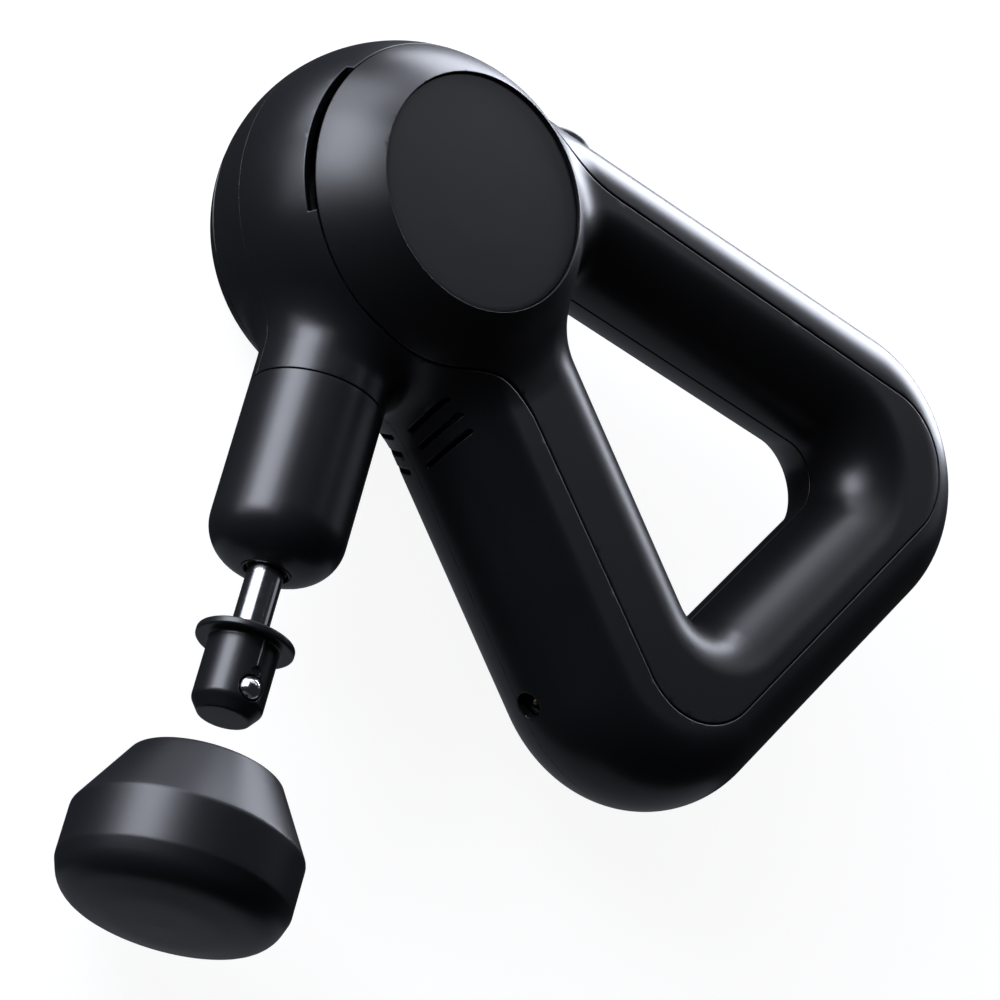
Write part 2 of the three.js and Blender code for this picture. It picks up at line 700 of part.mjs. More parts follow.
const product = new THREE.Group();
product.position.z = FACE_Z - DISC_RECESS;

function part(name, body, material) {
  const mesh = body.getMesh();
  const geometry = new THREE.BufferGeometry();
  geometry.setAttribute('position', new THREE.BufferAttribute(mesh.vertProperties, 3));
  geometry.setIndex(new THREE.BufferAttribute(mesh.triVerts, 1));
  geometry.computeVertexNormals();
  const item = new THREE.Mesh(geometry, material);
  item.name = name;
  product.add(item);
}

part('housing_right', housing(1), shellBlack());
part('housing_left', housing(-1), shellBlack());
part('side_cover_right', sideCover(1), gripBlack());
part('side_cover_left', sideCover(-1), gripBlack());
part('side_disc_right', sideDisc(1), discGrey());
part('side_disc_left', sideDisc(-1), discGrey());
part('nose_cover', noseCover(), shellBlack());

part('output_shaft', outputShaft(), chrome());
part('plug', plug(), shellBlack());
part('detent_ball_right', detentBall(1), chrome());
part('detent_ball_left', detentBall(-1), chrome());
part('detent_spring_right', detentSpring(1), steel());
part('detent_spring_left', detentSpring(-1), steel());
part('attachment_core', attachmentCore(), shellBlack());
part('attachment_pad', attachmentPad(), rubberBlack());

part('connecting_rod', connectingRod(), aluminium());
part('crosshead', crosshead(), aluminium());
part('wrist_pin', wristPin(), steel());
part('motor_shaft', motorShaft(), steel());
part('rotor_bell', rotorBell(), steel());
part('magnet_ring', magnetRing(), steel());
part('motor_stator', motorStator(), copper());
part('motor_bearing_inner', bearing(-19.8), steel());
part('motor_bearing_outer', bearing(-12.6), steel());
part('motor_frame', motorFrame(), aluminium());
part('crank_disc', crankDisc(), steel());
part('crank_pin', crankPin(), steel());
part('rod_bearing', rodBearing(), steel());
part('shaft_liner', liner(), aluminium());
part('front_bushing', frontBushing(), brass());
part('shaft_seal', shaftSeal(), rubberBlack());

cells().forEach((body, i) => part(`battery_cell_${i + 1}`, body, cellBlue()));
part('cell_cradle', cellCradle(), gripBlack());
part('control_board', controlBoard(), boardGreen());
part('power_button', powerButton(), shellBlack());
part('switch_plunger', switchPlunger(), gripBlack());
part('tact_switch', tactSwitch(), gripBlack());
part('switch_board', switchBoard(), boardGreen());
part('charge_jack', chargeJack(), gripBlack());
part('charge_pin', chargePin(), brass());
part('battery_cable', batteryCable(), wireRed());
part('motor_cable', motorCable(), wireRed());
part('charge_cable', chargeCable(), wireRed());
part('switch_cable', switchCable(), gripBlack());

postPlaces.forEach(({ at }, i) => part(`housing_screw_${i + 1}`, housingScrew(at), steel()));
motorScrewPlaces.forEach((at, i) => part(`motor_screw_${i + 1}`, motorScrew(at), steel()));

export default product;
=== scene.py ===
"""Massage gun: the looks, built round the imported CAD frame.

Shapes are worked out in millimetres from the head's centre and placed in metres in the frame. The
casings, the plug and the attachment's core are closed surfaces of distance fields: negative inside,
with fillets and rounded seam edges as part of the field. Turned pieces are fine lathe meshes.
"""

import json
import math

import bpy
import numpy as np
from mathutils import Matrix, Vector


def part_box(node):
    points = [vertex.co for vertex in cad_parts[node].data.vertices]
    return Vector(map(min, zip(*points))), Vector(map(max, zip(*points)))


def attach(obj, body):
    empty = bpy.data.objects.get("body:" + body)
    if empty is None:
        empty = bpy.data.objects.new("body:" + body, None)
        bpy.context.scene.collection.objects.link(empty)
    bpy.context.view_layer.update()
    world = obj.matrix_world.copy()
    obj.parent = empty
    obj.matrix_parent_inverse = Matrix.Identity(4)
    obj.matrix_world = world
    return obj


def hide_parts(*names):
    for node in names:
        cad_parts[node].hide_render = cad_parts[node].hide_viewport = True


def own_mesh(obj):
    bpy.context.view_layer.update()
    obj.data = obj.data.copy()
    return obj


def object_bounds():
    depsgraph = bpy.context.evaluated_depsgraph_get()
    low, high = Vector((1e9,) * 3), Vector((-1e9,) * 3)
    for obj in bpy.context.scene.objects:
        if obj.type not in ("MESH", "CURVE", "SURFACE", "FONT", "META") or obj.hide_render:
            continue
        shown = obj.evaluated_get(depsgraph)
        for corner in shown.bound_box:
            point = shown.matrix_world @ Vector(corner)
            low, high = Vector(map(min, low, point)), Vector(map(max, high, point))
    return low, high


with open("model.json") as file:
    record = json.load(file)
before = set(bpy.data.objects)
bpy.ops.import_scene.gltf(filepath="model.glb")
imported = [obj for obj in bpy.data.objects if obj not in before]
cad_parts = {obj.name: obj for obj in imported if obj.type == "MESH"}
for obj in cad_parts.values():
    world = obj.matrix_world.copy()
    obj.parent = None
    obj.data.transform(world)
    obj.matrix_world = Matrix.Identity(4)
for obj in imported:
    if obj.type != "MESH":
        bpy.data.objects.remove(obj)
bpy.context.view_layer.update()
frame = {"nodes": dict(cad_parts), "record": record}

# ---------------------------------------------------------------- places from the frame

MM = 0.001
disc_low, disc_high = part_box("side_disc_right")
left_low, left_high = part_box("side_disc_left")
HEAD = Vector((
    (disc_low.x + disc_high.x) / 2,
    (disc_low.y + disc_high.y) / 2,
    (left_low.z + disc_high.z) / 2,
))


def local_box(node):
    """A CAD node's lowest and highest corner, in millimetres from the head's centre."""
    low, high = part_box(node)
    return np.array((low - HEAD) / MM), np.array((high - HEAD) / MM)


shaft_low, shaft_high = local_box("output_shaft")
nose_low, nose_high = local_box("nose_cover")
plug_low, plug_high = local_box("plug")
core_low, core_high = local_box("attachment_core")
pad_low, pad_high = local_box("attachment_pad")
ball_low, ball_high = local_box("detent_ball_right")
button_low, button_high = local_box("power_button")
pin_low, pin_high = local_box("charge_pin")

SHAFT_X = (pad_low[0] + pad_high[0]) / 2
SHAFT_RADIUS = 4.44

# ---------------------------------------------------------------- casing dimensions

HEAD_RADIUS = 45.1
CAP_RADIUS = 40.2
DISC_RADIUS = 29.2
MOUTH_RADIUS = 29.36
WALL = 2.6
SEAM = 0.35
PARTING_Z = -3.0
SEAM_EDGE = 0.35  # rounding of a shell's edge at a seam
LEDGE_RADIUS, LEDGE_HALF_WIDTH = 29.2, 3.6  # the ring that carries a side disc
LEDGE_Z, LEDGE_HALF_HEIGHT = 29.6, 1.1
LEDGE_COVER = 0.6  # how far the ledge stays below the outer surface

HANDLE_HALF = 19.5
EDGE = 17.0
ARM_ANGLE = math.radians(-40.9)
BACK_ANGLE = math.radians(60.2)
HEAD_FILLET = 10.0
NOSE_FILLET = 7.0
COVER_FILLET = 16.0

NOSE_RADIUS = 16.4
NOSE_ROUND = 11.0
NOSE_MOUTH = 5.7
NOSE_SEAM_Y = nose_high[1] + SEAM

ALONG = np.array([math.cos(ARM_ANGLE), math.sin(ARM_ANGLE)])
ACROSS = np.array([-math.sin(ARM_ANGLE), math.cos(ARM_ANGLE)])


def on_lower_arm(along, across):
    return along * ALONG + across * ACROSS


# ---------------------------------------------------------------- field tools


def soft_min(a, b, reach):
    """Union with a fillet about `reach` wide."""
    blend = np.maximum(reach - np.abs(a - b), 0) / reach
    return np.minimum(a, b) - blend * blend * reach / 4


def round_max(a, b, radius):
    """Intersection whose edge is rounded by `radius`."""
    corner = np.hypot(np.maximum(a + radius, 0), np.maximum(b + radius, 0))
    return np.minimum(-radius, np.maximum(a, b)) + corner


class Outline:
    """Distance to a convex outline through anticlockwise corners (x, y, radius)."""

    def __init__(self, corners):
        points = np.array([c[:2] for c in corners], float)
        self.radii = np.array([c[2] for c in corners], float)
        edges = np.roll(points, -1, axis=0) - points
        lengths = np.hypot(edges[:, 0], edges[:, 1])
        self.normals = np.stack([edges[:, 1], -edges[:, 0]], 1) / lengths[:, None]
        self.reach = (self.normals * points).sum(1)
        self.centres = []
        for i, radius in enumerate(self.radii):
            pair = np.stack([self.normals[i - 1], self.normals[i]])
            limits = np.array([self.reach[i - 1], self.reach[i]]) - radius
            self.centres.append(np.linalg.solve(pair, limits))

    def __call__(self, x, y):
        best = np.full(np.shape(x), -1e9)
        for normal, reach in zip(self.normals, self.reach):
            best = np.maximum(best, normal[0] * x + normal[1] * y - reach)
        for i, (centre, radius) in enumerate(zip(self.centres, self.radii)):
            dx, dy = x - centre[0], y - centre[1]
            before, after = self.normals[i - 1], self.normals[i]
            in_sector = (before[0] * dy - before[1] * dx >= 0) & (dx * after[1] - dy * after[0] >= 0)
            best = np.where(in_sector, np.maximum(best, np.hypot(dx, dy) - radius), best)
        return best


def crossing(first, second):
    """Where two straight sides meet; a side is (angle, reach along its left normal)."""
    rows = [[-math.sin(angle), math.cos(angle)] for angle, _ in (first, second)]
    return np.linalg.solve(np.array(rows), np.array([first[1], second[1]]))


lower_outer, lower_inner = (ARM_ANGLE, -23.8), (ARM_ANGLE, 27.8)
back_outer, back_inner = (BACK_ANGLE, -160.6), (BACK_ANGLE, -124.8)
upper_outer, upper_inner = (0.0, 46.5), (0.0, 10.0)

ring_outline = Outline([
    (*on_lower_arm(8, -23.8), 20),
    (*crossing(lower_outer, back_outer), 39.8),
    (*crossing(back_outer, upper_outer), 40.8),
    (24, 46.5, 25),
    (0, 36, 20),
])
ring_hole = Outline([
    (*crossing(lower_inner, upper_inner), 8),
    (*crossing(lower_inner, back_inner), 7),
    (*crossing(back_inner, upper_inner), 10.3),
])
cover_outline = Outline([
    (10, -11.1, 1),
    (111.6, -96.3, 20),
    (182.1, 27.5, 20),
    (10, 30.3, 1),
])


def handle(x, y, z):
    """The ring handle: a flat crest that rounds off elliptically towards both outlines."""
    depth = np.minimum(-ring_outline(x, y), ring_hole(x, y))
    out = np.maximum(EDGE - depth, 0)
    scaled = np.hypot(out / EDGE, z / HANDLE_HALF)
    slope = np.hypot(out / EDGE**2, z / HANDLE_HALF**2)
    return scaled * (scaled - 1) / np.maximum(slope, 1e-4)


def skin_and_head(x, y, z):
    """Outer surface of the whole casing, and of the ball alone."""
    head = np.sqrt(x * x + y * y + z * z) - HEAD_RADIUS
    nose = np.maximum(np.hypot(x - SHAFT_X, z) - NOSE_RADIUS, y)
    return soft_min(soft_min(head, handle(x, y, z), HEAD_FILLET), nose, NOSE_FILLET), head


def casing(x, y, z):
    """Outer surface, wall, zone of the side cover and zone inside the cap seam.

    The cap seam is cut square to the ball, and upright where the handle covers the ball.
    """
    skin, head = skin_and_head(x, y, z)
    lean = CAP_RADIUS / HEAD_RADIUS * np.clip(1 - (head - skin) / 1.5, 0, 1)
    cap = (np.hypot(x, y) - CAP_RADIUS - lean * skin) / np.sqrt(1 - lean * lean)
    shell = round_max(skin, -skin - WALL, 0.3)
    return skin, shell, soft_min(cover_outline(x, y), cap, COVER_FILLET), cap


def capsule(u, v, start, end, radius):
    """Distance to a rounded bar in a plane."""
    du, dv = end[0] - start[0], end[1] - start[1]
    share = np.clip(((u - start[0]) * du + (v - start[1]) * dv) / (du * du + dv * dv), 0, 1)
    return np.hypot(u - start[0] - share * du, v - start[1] - share * dv) - radius


# ---------------------------------------------------------------- openings of the housing

VENT_ALONG = 44.7
VENT_PITCH = 4.7
VENT_HALF = 0.66
STRIP_ACROSS = -16  # the outer strip of the lower arm lies beyond this
PORT_ALONG = 117.8
PORT_RADIUS = 3.4
BUTTON_X = (button_low[0] + button_high[0]) / 2
BUTTON_RADIUS = 8.0
BUTTON_GAP = 0.4
BUTTON_WELL_Y = 30
INTAKE_FROM, INTAKE_TO = math.radians(153), math.radians(211)
INTAKE_WIDTH = 2.5
# Screw posts: where each stands, and how far its rib runs out from it.
POSTS = [(41, -29, -8.5, -9.8), (108, -79, 0, -13), (161, 9, 11.6, 3.1), (59.5, 24.6, 0, 11.5)]
POST_TOP = 13.2
POST_RADIUS = 3.4
PILOT_RADIUS = 1.45
RIB_RADIUS = 1.6
RIB_START, RIB_RISE = 10.0, 6.8
POST_COVER = 1.2  # how far posts and ribs end below the outer surface


def vents(x, y, z, facing):
    """Three slanted cooling slots round the lower arm's outer edge."""
    along = x * ALONG[0] + y * ALONG[1]
    across = x * ACROSS[0] + y * ACROSS[1]
    inner, outer, lean = (2.3, 14.4, 3.9) if facing > 0 else (-6.1, -14.4, 1.5)
    slots = None
    for i in range(3):
        start = VENT_ALONG + VENT_HALF + VENT_PITCH * i
        slot = capsule(along, z, (start, inner), (start - lean, outer), VENT_HALF)
        slots = slot if slots is None else np.minimum(slots, slot)
    return np.maximum(slots, across - STRIP_ACROSS)


def intake(x, y, cap):
    """The slot that widens the cap seam on the side away from the handle."""
    turn = np.mod(np.arctan2(y, x), 2 * math.pi)
    middle, half = (INTAKE_FROM + INTAKE_TO) / 2, (INTAKE_TO - INTAKE_FROM) / 2
    sector = (np.abs(turn - middle) - half) * CAP_RADIUS
    return round_max(sector, cap - INTAKE_WIDTH, 0.3)


def charge_port(x, y, z):
    along = x * ALONG[0] + y * ALONG[1]
    across = x * ACROSS[0] + y * ACROSS[1]
    return np.maximum(np.hypot(along - PORT_ALONG, z) - PORT_RADIUS, across - STRIP_ACROSS)


def nose_room(x, y, z):
    """The space below the nose seam, beside the lower arm."""
    return np.maximum(y - NOSE_SEAM_Y, x - SHAFT_X - NOSE_RADIUS - 4)


def button_well(x, y, z):
    return np.maximum(np.hypot(x - BUTTON_X, z) - BUTTON_RADIUS - BUTTON_GAP, BUTTON_WELL_Y - y)


def posts(x, y, z, skin, facing):
    """Screw posts under the side cover, each on a rib from the outer strip."""
    solids = None
    for px, py, dx, dy in POSTS:
        low = PARTING_Z + 0.2 if facing > 0 else -POST_TOP
        high = POST_TOP if facing > 0 else PARTING_Z - 0.2
        shank = np.maximum(np.hypot(x - px, y - py) - POST_RADIUS, np.maximum(low - z, z - high))
        start = np.array([px, py, RIB_START * facing])
        run = np.array([dx, dy, RIB_RISE * facing])
        share = ((x - start[0]) * run[0] + (y - start[1]) * run[1] + (z - start[2]) * run[2])
        share = np.clip(share / run.dot(run), 0, 1)
        gaps = [q - s - share * r for q, s, r in zip((x, y, z), start, run)]
        rib = np.sqrt(sum(gap**2 for gap in gaps)) - RIB_RADIUS
        bore = PILOT_RADIUS - np.hypot(x - px, y - py)
        post = np.maximum(np.minimum(shank, rib), bore)
        solids = post if solids is None else np.minimum(solids, post)
    return np.maximum(solids, skin + POST_COVER)


# ---------------------------------------------------------------- casing pieces


def housing(facing):
    def field(x, y, z):
        skin, shell, zone, cap = casing(x, y, z)
        solid = round_max(shell, SEAM - zone, SEAM_EDGE)
        solid = round_max(solid, -nose_room(x, y, z), 0.15)
        parting = (PARTING_Z - z) if facing > 0 else (z - PARTING_Z)
        solid = np.minimum(solid, posts(x, y, z, skin, facing))
        solid = round_max(solid, parting + 0.01, 0.04)
        solid = round_max(solid, -vents(x, y, z, facing), 0.25)
        solid = round_max(solid, -intake(x, y, cap), 0.25)
        solid = round_max(solid, -charge_port(x, y, z), 0.4)
        return round_max(solid, -button_well(x, y, z), 0.3)

    return field


def side_cover(facing):
    def field(x, y, z):
        side = z * facing
        radius = np.hypot(x, y)
        skin, shell, zone, _ = casing(x, y, z)
        solid = round_max(shell, zone, SEAM_EDGE)
        solid = round_max(solid, SEAM / 2 - side, 0.25)
        solid = round_max(solid, MOUTH_RADIUS - radius, 0.3)
        ledge = np.maximum(
            np.abs(radius - LEDGE_RADIUS) - LEDGE_HALF_WIDTH, np.abs(side - LEDGE_Z) - LEDGE_HALF_HEIGHT)
        return np.minimum(solid, np.maximum(ledge, skin + LEDGE_COVER))

    return field


# ---------------------------------------------------------------- plug and attachment core

FLANGE_Y = plug_high[1]
FLANGE_RADIUS = 11.8
FLANGE_THICK = 2.0
PLUG_RADIUS = 8.5
CHAMFER = 3.2
CHAMFER_ANGLE = 0.62
KEY_HALF_WIDTH, KEY_LENGTH, KEY_RISE = 0.45, 8.6, 0.28
NOTCH_RADIUS, NOTCH_DROP, NOTCH_DEPTH = 1.1, 10.2, 0.5  # a small dent above the ball
PLUG_END_Y = plug_low[1]
BALL_Y = (ball_low[1] + ball_high[1]) / 2
BALL_RADIUS = (ball_high[1] - ball_low[1]) / 2
BALL_CENTRE = (ball_low[2] + ball_high[2]) / 2
POCKET_RADIUS = 3.2


def plug(x, y, z):
    radius = np.hypot(x - SHAFT_X, z)
    body = round_max(radius - PLUG_RADIUS, PLUG_END_Y - y, 0.3)
    cone = (radius - PLUG_RADIUS) * math.cos(CHAMFER_ANGLE)
    cone = cone + (PLUG_END_Y + CHAMFER - y) * math.sin(CHAMFER_ANGLE)
    body = round_max(body, cone, 0.35)
    body = np.maximum(body, y - FLANGE_Y + 0.5)
    middle = FLANGE_Y - FLANGE_THICK / 2
    flange = round_max(radius - FLANGE_RADIUS, np.abs(y - middle) - FLANGE_THICK / 2, 0.6)
    solid = soft_min(body, flange, 0.7)
    key = capsule(x - SHAFT_X, y, (0, FLANGE_Y - 1), (0, FLANGE_Y - KEY_LENGTH), KEY_HALF_WIDTH)
    key = round_max(key, np.maximum(radius - PLUG_RADIUS - KEY_RISE, PLUG_RADIUS - 1 - z), 0.2)
    solid = np.minimum(solid, key)
    pocket = np.hypot(x - SHAFT_X, y - BALL_Y) - POCKET_RADIUS
    pocket = np.maximum(pocket, 0.8 - np.abs(z))
    notch = np.hypot(x - SHAFT_X, y - FLANGE_Y + NOTCH_DROP) - NOTCH_RADIUS
    notch = np.maximum(notch, PLUG_RADIUS - NOTCH_DEPTH - z)
    bore = np.maximum(radius - SHAFT_RADIUS + 0.02, FLANGE_Y - 0.02 - y)
    return round_max(round_max(round_max(solid, -pocket, 0.3), -notch, 0.2), -bore, 0.1)


CORE_TOP_Y = core_high[1]
SOCKET_RADIUS = 8.85
SLEEVE_RADIUS = 13.0
SOCKET_FLOOR = 2.4
GROOVE_REACH = 10.6


def attachment_core(x, y, z):
    radius = np.hypot(x - SHAFT_X, z)
    sleeve = round_max(radius - SLEEVE_RADIUS, np.maximum(y - CORE_TOP_Y, core_low[1] - y), 0.3)
    groove = np.maximum(np.abs(x - SHAFT_X) - POCKET_RADIUS, np.abs(z) - GROOVE_REACH)
    socket = np.minimum(radius - SOCKET_RADIUS, groove)
    socket = np.maximum(socket, core_low[1] + SOCKET_FLOOR - y)
    return round_max(sleeve, -socket, 0.4)


# ---------------------------------------------------------------- surfaces of fields


CORNERS = np.array([[1, 1, 1], [1, -1, -1], [-1, 1, -1], [-1, -1, 1]], float)
FLATNESS_PULL = 0.08  # keeps a cell's point near the middle of its crossings where it is flat


def gradient(field, points, step=0.006):
    """Outward normals and steepness of a field, from four samples round each point."""
    slopes = np.zeros_like(points)
    for corner in CORNERS:
        slopes += field(*(points + step * corner).T)[:, None] * corner
    lengths = np.linalg.norm(slopes, axis=1, keepdims=True)
    return slopes / np.maximum(lengths, 1e-12), lengths[:, 0] / (4 * step)


def settle(field, points, limit, rounds=3):
    """Moves points onto the field's surface."""
    for _ in range(rounds):
        normals, steepness = gradient(field, points)
        move = field(*points.T) / np.maximum(steepness, 0.3)
        points = points - np.clip(move, -limit, limit)[:, None] * normals
    return points


# A grid cell's corners are numbered by bits (x, y, z); an edge starts at a corner and runs up an axis.
CELL_EDGES = [(axis, corner) for axis in range(3) for corner in range(8) if not corner >> axis & 1]


def face_loops():
    """The four corners of each face of a grid cell, in order round it."""
    for axis in range(3):
        u, v = 1 << (axis + 1) % 3, 1 << (axis + 2) % 3
        for base in (0, 1 << axis):
            yield [base, base | u, base | u | v, base | v]


def patch_table():
    """For each pattern of inside corners, the sheet of surface that crosses each edge of a cell."""
    table = np.zeros((256, 12), int)
    ends = {frozenset((corner, corner | 1 << axis)): e for e, (axis, corner) in enumerate(CELL_EDGES)}
    for pattern in range(256):
        inside = [pattern >> corner & 1 for corner in range(8)]
        sheet = {e: e for pair, e in ends.items() if sum(inside[c] for c in pair) == 1}
        for loop in face_loops():
            around = [ends[frozenset((loop[n], loop[n - 3]))] for n in range(4)]
            cut = [e for e in around if e in sheet]
            joins = [tuple(cut)] if len(cut) == 2 else []
            if len(cut) == 4:
                joins = [(around[n - 1], around[n]) for n in range(4) if inside[loop[n]]]
            for first, second in joins:
                old, new = sheet[second], sheet[first]
                sheet = {e: new if label == old else label for e, label in sheet.items()}
        order = {label: n for n, label in enumerate(sorted(set(sheet.values())))}
        for e, label in sheet.items():
            table[pattern, e] = order[label]
    return table


PATCHES = patch_table()


def net(field, low, high, cell):
    """Dual surface of a field: a point for each sheet of surface in a cell, set on its edges."""
    axes = [np.arange(a - 4 * cell, b + 5 * cell, cell) for a, b in zip(low, high)]
    values = np.empty([len(a) for a in axes])
    flat_y, flat_z = np.meshgrid(axes[1], axes[2], indexing="ij")
    for i, x in enumerate(axes[0]):
        values[i] = field(np.full(flat_y.shape, x), flat_y, flat_z)
    inside = values < 0
    room = tuple(n - 1 for n in values.shape)
    pattern = np.zeros(room, int)
    for corner in range(8):
        i, j, k = (corner >> axis & 1 for axis in range(3))
        pattern |= inside[i:i + room[0], j:j + room[1], k:k + room[2]].astype(int) << corner
    sheets = np.where((pattern > 0) & (pattern < 255), PATCHES.max(1)[pattern] + 1, 0)
    first = np.cumsum(sheets.ravel()).reshape(room) - sheets
    total = int(sheets.sum())
    origin = np.array([a[0] for a in axes])
    hits, mean = np.zeros(total), np.zeros((total, 3))
    moment, pull = np.zeros((total, 3, 3)), np.zeros((total, 3))
    quads = []
    for axis in range(3):
        step = np.eye(3, dtype=int)[axis]
        near = np.take(inside, range(inside.shape[axis] - 1), axis)
        far = np.take(inside, range(1, inside.shape[axis]), axis)
        at = np.argwhere(near != far)
        start, end = values[tuple(at.T)], values[tuple((at + step).T)]
        points = origin + (at + (start / (start - end))[:, None] * step) * cell
        normals, _ = gradient(field, points)
        reach = (normals * points).sum(1)
        side_a, side_b = (axis + 1) % 3, (axis + 2) % 3
        quad = []
        for back_a, back_b in ((1, 1), (0, 1), (0, 0), (1, 0)):
            home = at.copy()
            home[:, side_a] -= back_a
            home[:, side_b] -= back_b
            home = tuple(home.T)
            edge = CELL_EDGES.index((axis, back_a << side_a | back_b << side_b))
            owner = first[home] + PATCHES[pattern[home], edge]
            quad.append(owner)
            hits += np.bincount(owner, minlength=total)
            for i in range(3):
                mean[:, i] += np.bincount(owner, points[:, i], total)
                pull[:, i] += np.bincount(owner, normals[:, i] * reach, total)
                for j in range(3):
                    moment[:, i, j] += np.bincount(owner, normals[:, i] * normals[:, j], total)
        quad = np.stack(quad, 1)
        quads.append(np.where(near[tuple(at.T)][:, None], quad, quad[:, ::-1]))
    mean /= hits[:, None]
    pull -= np.einsum("nij,nj->ni", moment, mean)
    shift = np.linalg.solve(moment + FLATNESS_PULL * np.eye(3), pull[:, :, None])[:, :, 0]
    return mean + np.clip(shift, -0.8 * cell, 0.8 * cell), np.concatenate(quads)


def triangles(field, points, quads):
    """Splits each quad along the diagonal that follows the surface best."""
    normals, _ = gradient(field, points)
    first, second = ((normals[quads[:, n]] * normals[quads[:, n + 2]]).sum(1) for n in (0, 1))
    turned_quads = np.where((first >= second)[:, None], quads, np.roll(quads, -1, axis=1))
    return np.concatenate([turned_quads[:, [0, 1, 2]], turned_quads[:, [0, 2, 3]]])


def relax(field, points, faces, cell, rounds=4):
    """Evens out the triangles along the surface, away from its edges."""
    edges = np.concatenate([faces[:, [0, 1]], faces[:, [1, 2]], faces[:, [2, 0]]])
    degree = np.bincount(edges[:, 0], minlength=len(points))[:, None]
    normals, _ = gradient(field, points)
    bend = np.ones(len(points))
    np.minimum.at(bend, edges[:, 0], (normals[edges[:, 0]] * normals[edges[:, 1]]).sum(1))
    np.minimum.at(bend, edges[:, 1], (normals[edges[:, 0]] * normals[edges[:, 1]]).sum(1))
    free = np.clip((bend - 0.9) / 0.08, 0, 1)[:, None]
    for _ in range(rounds):
        total = np.zeros_like(points)
        for axis in range(3):
            total[:, axis] = np.bincount(edges[:, 0], points[edges[:, 1], axis], len(points))
        pull = total / degree - points
        pull -= (pull * normals).sum(1, keepdims=True) * normals
        points = settle(field, points + 0.5 * free * pull, 0.3 * cell, 1)
    return points


# Triangle splits by which of the edges 01, 12, 20 are cut; 3, 4, 5 are their middle points.
SPLITS = {
    0: [(0, 1, 2)],
    1: [(0, 3, 2), (3, 1, 2)],
    2: [(0, 1, 4), (0, 4, 2)],
    4: [(0, 1, 5), (5, 1, 2)],
    3: [(3, 1, 4), (0, 3, 4), (0, 4, 2)],
    6: [(4, 2, 5), (0, 1, 4), (0, 4, 5)],
    5: [(0, 3, 5), (3, 1, 2), (3, 2, 5)],
    7: [(0, 3, 5), (3, 1, 4), (5, 4, 2), (3, 4, 5)],
}


def refine(field, points, faces, shortest, bend=0.965):
    """Splits the edges across which the surface turns sharply."""
    normals, _ = gradient(field, points)
    sides = np.sort(np.concatenate([faces[:, [0, 1]], faces[:, [1, 2]], faces[:, [2, 0]]]), axis=1)
    edges, back = np.unique(sides, axis=0, return_inverse=True)
    back = back.reshape(3, -1).T
    length = np.linalg.norm(points[edges[:, 0]] - points[edges[:, 1]], axis=1)
    turn = (normals[edges[:, 0]] * normals[edges[:, 1]]).sum(1)
    cut = (turn < bend) & (length > shortest)
    middle = np.full(len(edges), -1)
    middle[cut] = len(points) + np.arange(cut.sum())
    fresh = settle(field, points[edges[cut]].mean(1), 0.3)
    points = np.concatenate([points, fresh])
    ring = np.concatenate([faces, middle[back]], axis=1)
    case = (cut[back] * np.array([1, 2, 4])).sum(1)
    pieces = []
    for key, parts in SPLITS.items():
        chosen = ring[case == key]
        pieces += [chosen[:, list(part)] for part in parts]
    return points, np.concatenate(pieces)


def tidy(points, faces):
    """Drops triangles without area and points that nothing uses."""
    a, b, c = (points[faces[:, i]] for i in range(3))
    area = np.linalg.norm(np.cross(b - a, c - a), axis=1)
    faces = faces[area > 1e-9]
    used, inverse = np.unique(faces, return_inverse=True)
    return points[used], inverse.reshape(-1, 3)


def mesh_object(name, points, faces, normals=None):
    """A smooth mesh in the frame from points in millimetres round the head's centre."""
    mesh = bpy.data.meshes.new(name)
    placed = np.asarray(points) * MM + np.array(HEAD)
    mesh.from_pydata([], [], [])
    mesh.vertices.add(len(placed))
    mesh.vertices.foreach_set("co", placed.astype(np.float32).ravel())
    sizes = np.array([len(f) for f in faces]) if isinstance(faces, list) else np.full(len(faces), 3)
    loops = np.concatenate([np.asarray(f) for f in faces]) if isinstance(faces, list) else faces.ravel()
    mesh.loops.add(int(sizes.sum()))
    mesh.loops.foreach_set("vertex_index", loops.astype(np.int32))
    mesh.polygons.add(len(sizes))
    mesh.polygons.foreach_set("loop_start", (np.cumsum(sizes) - sizes).astype(np.int32))
    mesh.polygons.foreach_set("use_smooth", np.ones(len(sizes), bool))
    mesh.update(calc_edges=True)
    mesh.validate()
    if normals is not None and len(mesh.vertices) == len(normals):
        mesh.normals_split_custom_set_from_vertices(normals.tolist())
    item = bpy.data.objects.new(name, mesh)
    bpy.context.scene.collection.objects.link(item)
    return item


def carve(name, field, low, high, cell, rounds=3, shortest=0.16):
    """A closed mesh of a field, fine along its rounded edges."""
    points, quads = net(field, low, high, cell)
    points = settle(field, points, 0.5 * cell)
    faces = triangles(field, points, quads)
    points = relax(field, points, faces, cell)
    for _ in range(rounds):
        points, faces = refine(field, points, faces, shortest)
    points, faces = tidy(points, faces)
    normals, _ = gradient(field, points)
    return mesh_object(name, points, faces, normals)


# ---------------------------------------------------------------- turned pieces


